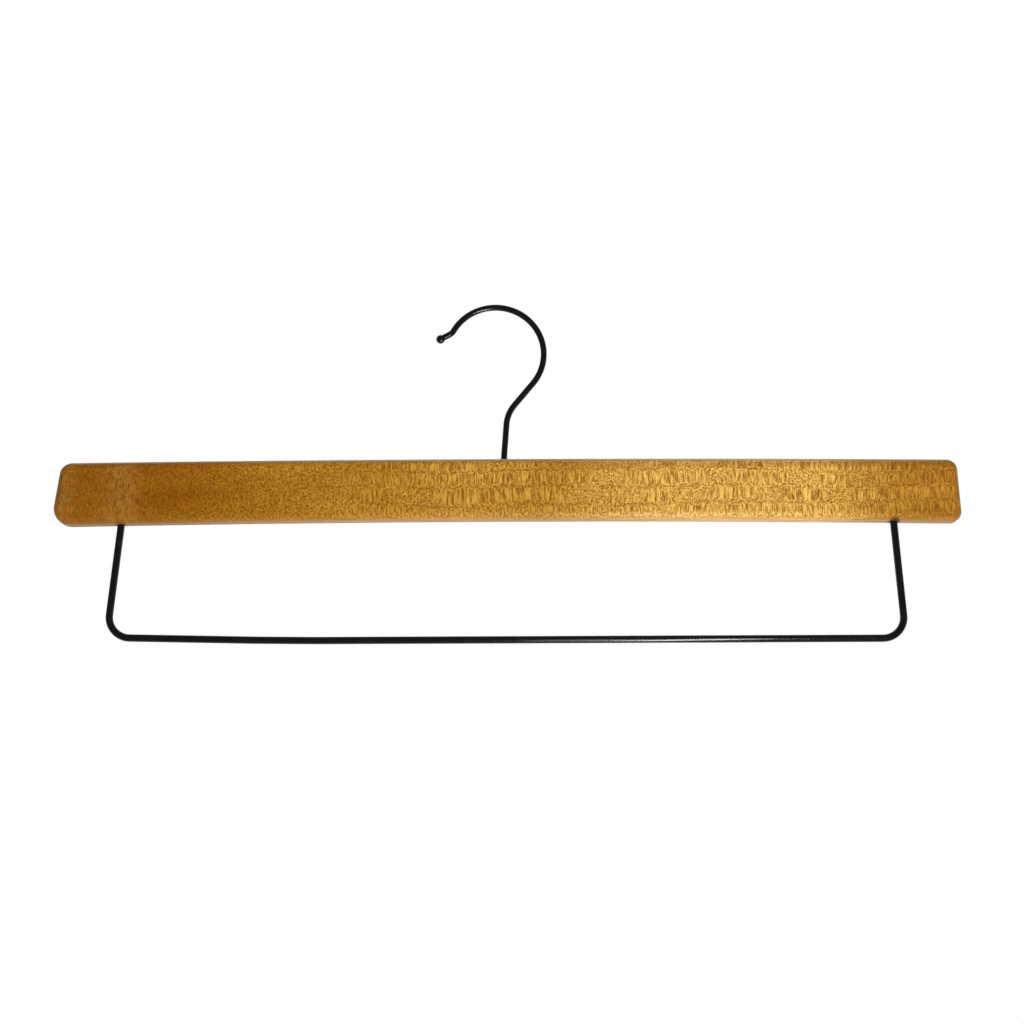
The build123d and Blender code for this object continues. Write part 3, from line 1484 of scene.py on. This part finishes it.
    def blank(self) -> bpy.types.Object:
        """Build the bar before it is drilled.

        Returns:
            The blank.
        """
        form = bmesh.new()
        outline = self.outline()
        rings = [
            [
                form.verts.new((x - inset * cos(facing), y, z - inset * sin(facing)))
                for x, z, facing in outline
            ]
            for inset, y in self.section()
        ]
        wall(form, rings)
        form.faces.new(rings[0])
        form.faces.new(rings[-1])
        bmesh.ops.recalc_face_normals(form, faces=form.faces)
        return linked(self.name + "_blank", finished_mesh(self.name, form))

    def leg_drill(self, side: int) -> bpy.types.Object:
        """Build the drill for one leg of the wire: chamfered mouth, hole and pointed end.

        Args:
            side: -1 for the left leg, 1 for the right one.

        Returns:
            The drill.
        """
        x, lean = self.wire.leg(side)
        mouth = (self.underside().at(x)[0] - self.wire.entry_z) / cos(lean)
        radius = self.wire.radius + self.hole_play
        depth = self.wire.insert_depth + self.hole_end_gap
        flare = self.mouth_chamfer
        course = Course(x, self.wire.entry_z, UP - lean).lay(depth)
        girth = [
            (mouth - self.overrun, 0.0),
            (mouth - self.overrun, radius + flare + self.overrun),
            (mouth + flare, radius),
            (depth, radius),
            (depth + radius * self.point_slope, 0.0),
        ]
        return linked(f"leg_drill_{side}", skin("leg_drill", course, girth, self.wire.sides))

    def shank_drill(self) -> bpy.types.Object:
        """Build the stepped drill for the sleeve: flange seat, bore and pointed end.

        Returns:
            The drill.
        """
        sleeve = self.sleeve
        seat = sleeve.places.sleeve_top_z - sleeve.flange_thickness
        radius = sleeve.radius + self.hole_play
        seat_radius = sleeve.flange_radius + self.hole_play
        bottom = sleeve.foot_z - self.head_room
        shoulder = seat - bottom + radius
        top = self.places.bar_top_z - bottom + radius + self.overrun
        course = Course(sleeve.places.shank_x, bottom - radius, UP).lay(self.length)
        girth = [
            (radius - radius * self.point_slope, 0.0),
            (radius, radius),
            (shoulder, radius),
            (shoulder, seat_radius),
            (top, seat_radius),
            (top, 0.0),
        ]
        return linked("shank_drill", skin("shank_drill", course, girth, sleeve.sides))

    def mesh(self) -> bpy.types.Mesh:
        """Drill the blank, and even out its shading.

        Returns:
            The bar's mesh.
        """
        bar = self.blank()
        drills = [self.leg_drill(-1), self.leg_drill(1), self.shank_drill()]
        for drill in drills:
            cut = bar.modifiers.new(drill.name, "BOOLEAN")
            cut.operation = "DIFFERENCE"
            cut.solver = "EXACT"
            cut.object = drill
        settled(bar)
        bar.data.set_sharp_from_angle(angle=SHARP_ANGLE)
        shading = bar.modifiers.new("even_shading", "WEIGHTED_NORMAL")
        shading.keep_sharp = True
        settled(bar)
        mesh = bar.data
        for spent in [bar, *drills]:
            bpy.data.objects.remove(spent)
        return mesh


@dataclass(frozen=True)
class SoftLight:
    """One rectangular soft light. Lengths are in metres."""

    name: str
    place: Point
    aim: Point
    size: tuple[float, float]
    power: float
    in_gloss: bool = True
    in_diffuse: bool = True

    def build(self) -> None:
        """Hang the light and turn it to its aim."""
        lamp = bpy.data.lights.new(self.name, "AREA")
        lamp.shape = "RECTANGLE"
        lamp.size, lamp.size_y = self.size
        lamp.energy = self.power
        thing = bpy.data.objects.new(self.name, lamp)
        thing.location = self.place
        thing.rotation_euler = (Vector(self.aim) - Vector(self.place)).to_track_quat("-Z", "Y").to_euler()
        thing.visible_camera = False
        thing.visible_glossy = self.in_gloss
        thing.visible_diffuse = self.in_diffuse
        bpy.context.scene.collection.objects.link(thing)


@dataclass
class Studio:
    """The plain studio: camera, pale floor, soft lights and white surroundings. Lengths are in metres."""

    camera_place: Point = (0.00718, -0.86766, -0.27774)
    camera_pitch: float = radians(12)
    camera_roll: float = radians(0.24)
    focal_length: float = 70.3125
    sensor_width: float = 36.0
    floor_z: float = -0.95
    floor_radius: float = 14.0
    floor_sides: int = 96
    floor_paint: FloorPaint = FloorPaint()
    room_glow: Ramp = Ramp(-0.4, 0.8, 0.08, 0.6)
    floor_bounce: Ramp = Ramp(0.0, -0.3, 0.0, 0.3)
    rim_glow: Ramp = Ramp(0.1, 0.8, 0.0, 0.4)
    lights: tuple[SoftLight, ...] = (
        SoftLight(
            "glint", (0.111, -0.215, -0.305), (0.03, 0.0, -0.09), (0.038, 0.28), 0.8, in_diffuse=False
        ),
        SoftLight(
            "glint_halo", (0.05, -0.215, -0.305), (0.03, 0.0, -0.09), (0.055, 0.28), 0.12, in_diffuse=False
        ),
        SoftLight("key_light", (0.15, -0.50, -0.70), (0.06, 0.0, -0.09), (0.2, 0.32), 4.4, in_gloss=False),
        SoftLight("front_fill", (0.5, -1.4, 0.3), (0.0, 0.0, -0.1), (1.2, 1.2), 11.0, in_gloss=False),
        SoftLight("back_fill", (-0.4, 1.4, 0.5), (0.0, 0.0, -0.1), (1.2, 1.2), 4.0, in_gloss=False),
        SoftLight("top_light", (0.0, 0.0, 2.2), (0.0, 0.0, 0.0), (3.0, 3.0), 18.0, in_gloss=False),
    )

    def build(self) -> None:
        """Set up the whole studio."""
        self.camera()
        self.floor()
        self.surroundings()
        for light in self.lights:
            light.build()
        screen = bpy.context.scene.view_settings
        screen.view_transform = "Standard"
        screen.look = "None"

    def camera(self) -> None:
        """Place the camera as the photograph was taken: from in front and below, looking up."""
        lens = bpy.data.cameras.new("camera")
        lens.lens = self.focal_length
        lens.sensor_width = self.sensor_width
        camera = bpy.data.objects.new("camera", lens)
        upright = Matrix.Rotation(RIGHT_ANGLE + self.camera_pitch, 4, "X")
        rolled = Matrix.Rotation(-self.camera_roll, 4, "Z")
        camera.matrix_world = Matrix.Translation(self.camera_place) @ upright @ rolled
        bpy.context.scene.collection.objects.link(camera)
        bpy.context.scene.camera = camera

    def floor(self) -> None:
        """Lay a round pale floor well below the hanger."""
        form = bmesh.new()
        bmesh.ops.create_circle(form, cap_ends=True, radius=self.floor_radius, segments=self.floor_sides)
        bmesh.ops.translate(form, vec=(0, 0, self.floor_z), verts=form.verts)
        floor = linked("studio_floor", finished_mesh("studio_floor", form))
        floor.data.materials.append(self.floor_paint.material("floor_paint"))
        floor.visible_glossy = False
        floor.visible_diffuse = False

    def surroundings(self) -> None:
        """Show pure white behind the hanger, and light it gently all round.

        The light is strongest from behind. The pale floor adds light from below, and in reflections
        the white behind the hanger is brighter still, which gives its edges a pale rim.
        """
        world = bpy.data.worlds.new("surroundings")
        bpy.context.scene.world = world
        graph = NodeGraph(world)
        _, backwards, upwards = graph.parts(graph.out(graph.node("ShaderNodeTexCoord"), "Generated"))
        path = graph.node("ShaderNodeLightPath")
        glow = graph.ease(backwards, self.room_glow)
        glow = glow + graph.ease(upwards, self.floor_bounce) * graph.out(path, "Is Diffuse Ray")
        glow = glow + graph.ease(backwards, self.rim_glow) * graph.out(path, "Is Glossy Ray")
        strength = glow + (1 - glow) * graph.out(path, "Is Camera Ray")
        sky = graph.node("ShaderNodeBackground", None, {"Color": WHITE, "Strength": strength})
        graph.node("ShaderNodeOutputWorld", None, {"Surface": graph.out(sky, "Background")})


def main() -> None:
    """Build the hanger's pieces in order, and then the studio round them."""
    logging.basicConfig(level=logging.INFO, format="%(name)s: %(message)s")
    places = FramePlaces.of_frame()
    wire = TrouserWire(places, BlackCoating(offset=400.0))
    sleeve = HookSleeve(places, BlackenedSteel())
    hook = SwivelHook(places, BlackCoating())
    bar = WoodenBar(places, VarnishedWood(), wire=wire, sleeve=sleeve)
    for piece in (bar, sleeve, hook, wire):
        piece.build()
    Studio().build()


if __name__ == "__main__":
    main()
